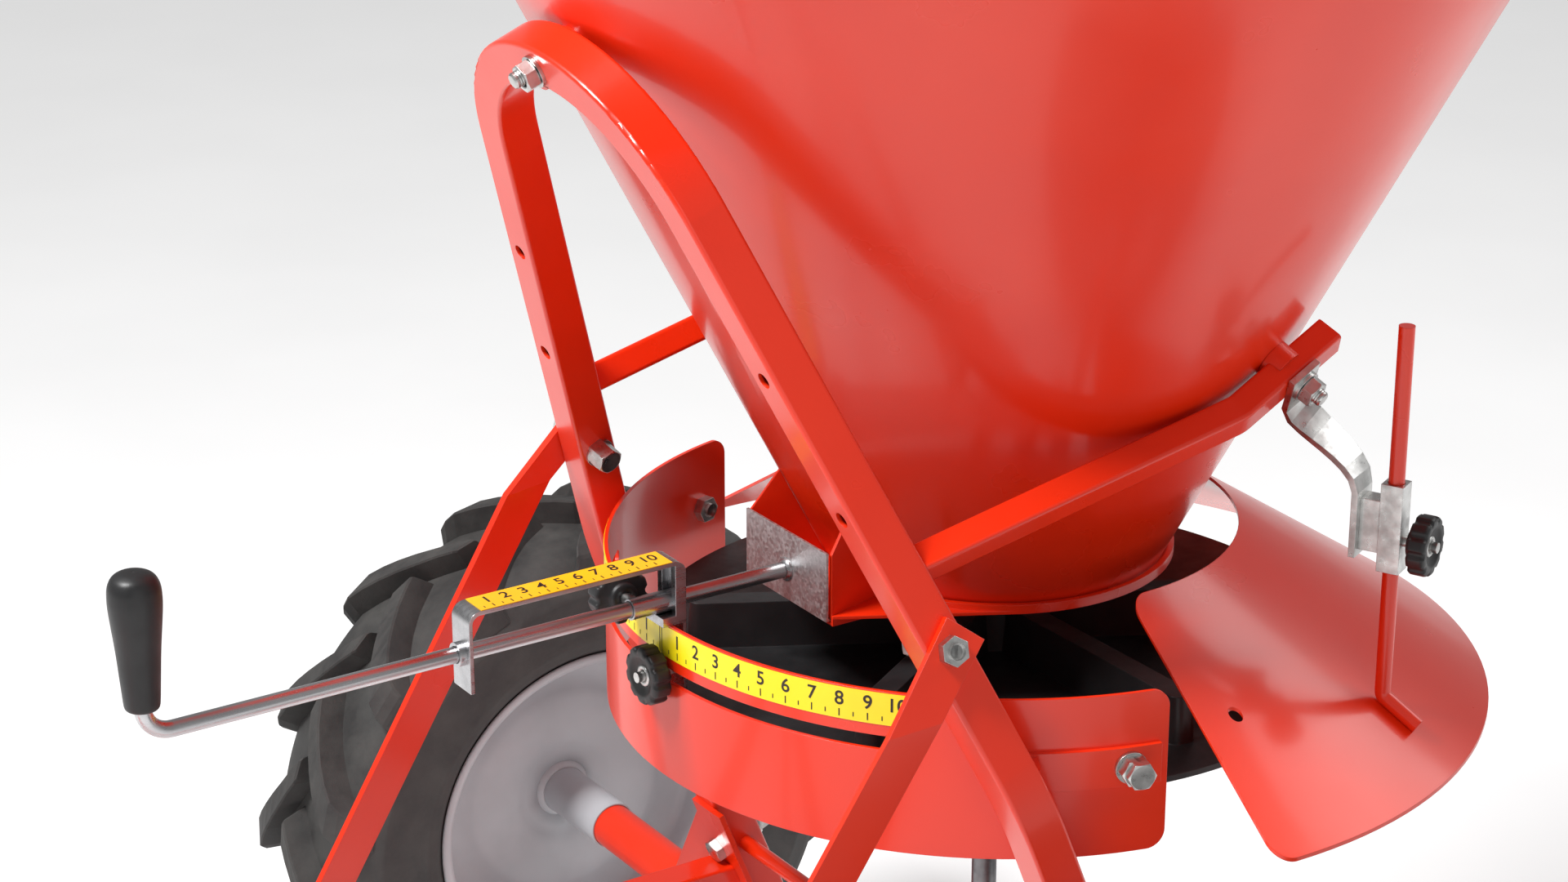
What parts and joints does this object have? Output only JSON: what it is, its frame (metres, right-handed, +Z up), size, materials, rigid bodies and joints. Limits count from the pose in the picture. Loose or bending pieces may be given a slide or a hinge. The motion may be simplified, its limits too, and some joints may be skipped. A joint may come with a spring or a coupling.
{
  "type": "tow behind spreader",
  "caption": "Tow-behind cone spreader: steel hopper on a hoop frame with two ground wheels, wheel-driven spreading disc, rod-set outlet, rear deflector and drawbar.",
  "frame": {"origin": "on the ground at the middle of the bounding box's base, half way between the rear edge of the hopper rim and the front of the towing eye", "axes": "+X forwards along the drawbar, +Y to the cart's left along the axle, +Z up"},
  "size_m": [1.8479, 1.538, 1.432],
  "materials": {
    "red_paint": "gloss",
    "zinc_steel": "satin",
    "bright_steel": "satin",
    "galvanised_steel": "matte",
    "yellow_scale": "satin",
    "amber_scale": "satin",
    "black_plastic": "satin",
    "grey_enamel": "satin",
    "tyre_rubber": "matte",
    "cast_housing": "matte",
    "machined_steel": "satin",
    "bronze": "satin"
  },
  "bodies": {
    "frame": {"front_hoop": "red_paint", "side_arm_left": "red_paint", "side_arm_right": "red_paint", "brace_left": "red_paint", "brace_right": "red_paint", "gusset_plates": "red_paint", "axle_struts": "red_paint", "cross_rod": "red_paint", "side_bar_left": "red_paint", "side_bar_right": "red_paint", "drawbar_tongue": "red_paint", "towing_eye": "red_paint", "stand_bracket": "red_paint", "stand_pin": "zinc_steel", "axle_housing_left": "red_paint", "axle_housing_right": "red_paint", "gearbox_housing": "cast_housing", "gearbox_cover": "cast_housing", "gearbox_screws": "zinc_steel", "bronze_bushes": "bronze", "hopper_cone": "red_paint", "hopper_rim": "red_paint", "hopper_bosses": "red_paint", "guard_band": "red_paint", "band_tabs": "red_paint", "band_scale": "yellow_scale", "deflector_straps": "zinc_steel", "rod_guides": "zinc_steel", "frame_bolts": "zinc_steel", "frame_nuts": "zinc_steel", "frame_washers": "zinc_steel"},
    "wheel_right": {"wheel_hub_right": "grey_enamel", "wheel_rim_right": "grey_enamel", "tyre_right": "tyre_rubber", "drive_axle": "machined_steel", "axle_collars": "machined_steel", "crown_gear": "machined_steel"},
    "wheel_left": {"wheel_hub_left": "grey_enamel", "wheel_rim_left": "grey_enamel", "tyre_left": "tyre_rubber"},
    "disc": {"disc_shaft": "machined_steel", "pinion_gear": "machined_steel", "spreading_disc": "black_plastic", "agitator": "machined_steel"},
    "outlet": {"outlet_plate": "red_paint"},
    "carrier": {"scale_bracket": "bright_steel", "bracket_scale": "amber_scale", "rod_sleeve": "bright_steel", "clamp_studs": "zinc_steel"},
    "shutter": {"shutter_gate": "galvanised_steel", "shutter_rod": "bright_steel", "rod_grip": "black_plastic"},
    "swing_knob": {"swing_knob": "black_plastic"},
    "rod_knob": {"rod_knob": "black_plastic"},
    "deflector": {"deflector_skirt": "red_paint", "deflector_rods": "red_paint"},
    "deflector_knob_left": {"deflector_knob_left": "black_plastic"},
    "deflector_knob_right": {"deflector_knob_right": "black_plastic"},
    "stand": {"stand_leg": "red_paint"}
  },
  "joints": [
    {"name": "wheel_right_spin", "type": "hinge", "parent": "frame", "child": "wheel_right", "pos_m": [-0.462, 0, 0.3], "axis": [0, 1, 0], "continuous": true},
    {"name": "wheel_left_spin", "type": "hinge", "parent": "frame", "child": "wheel_left", "pos_m": [-0.462, 0.69, 0.3], "axis": [0, 1, 0], "continuous": true},
    {"name": "disc_spin", "type": "hinge", "parent": "frame", "child": "disc", "pos_m": [-0.462, 0, 0.7], "axis": [0, 0, 1], "continuous": true},
    {"name": "carrier_swing", "type": "hinge", "parent": "frame", "child": "carrier", "pos_m": [-0.462, 0, 0.808], "axis": [0, 0, 1], "range_deg": [-35, 35]},
    {"name": "outlet_swing", "type": "hinge", "parent": "frame", "child": "outlet", "pos_m": [-0.462, 0, 0.808], "axis": [0, 0, 1], "range_deg": [-35, 35]},
    {"name": "shutter_slide", "type": "slide", "parent": "carrier", "child": "shutter", "axis": [1, 0, 0], "range_m": [0, 0.09]},
    {"name": "swing_knob_turn", "type": "hinge", "parent": "carrier", "child": "swing_knob", "pos_m": [-0.152, 0, 0.768], "axis": [1, 0, 0], "range_deg": [-180, 180]},
    {"name": "rod_knob_turn", "type": "hinge", "parent": "carrier", "child": "rod_knob", "pos_m": [-0.1435, -0.03, 0.8236], "axis": [0, -1, 0], "range_deg": [-180, 180]},
    {"name": "deflector_slide", "type": "slide", "parent": "frame", "child": "deflector", "axis": [0, 0, 1], "range_m": [-0.03, 0.06]},
    {"name": "deflector_knob_left_turn", "type": "hinge", "parent": "frame", "child": "deflector_knob_left", "pos_m": [-0.61708, 0.31377, 0.873], "axis": [-0.4431, 0.8965, 0], "range_deg": [-180, 180]},
    {"name": "deflector_knob_right_turn", "type": "hinge", "parent": "frame", "child": "deflector_knob_right", "pos_m": [-0.61708, -0.31377, 0.873], "axis": [-0.4431, -0.8965, 0], "range_deg": [-180, 180]},
    {"name": "stand_fold", "type": "hinge", "parent": "frame", "child": "stand", "pos_m": [0.738, 0, 0.438], "axis": [0, 1, 0], "range_deg": [0, 88]}
  ],
  "couplings": [
    {"joint": "disc_spin", "follows": "wheel_right_spin", "ratio": 4},
    {"joint": "outlet_swing", "follows": "carrier_swing", "ratio": 1}
  ]
}
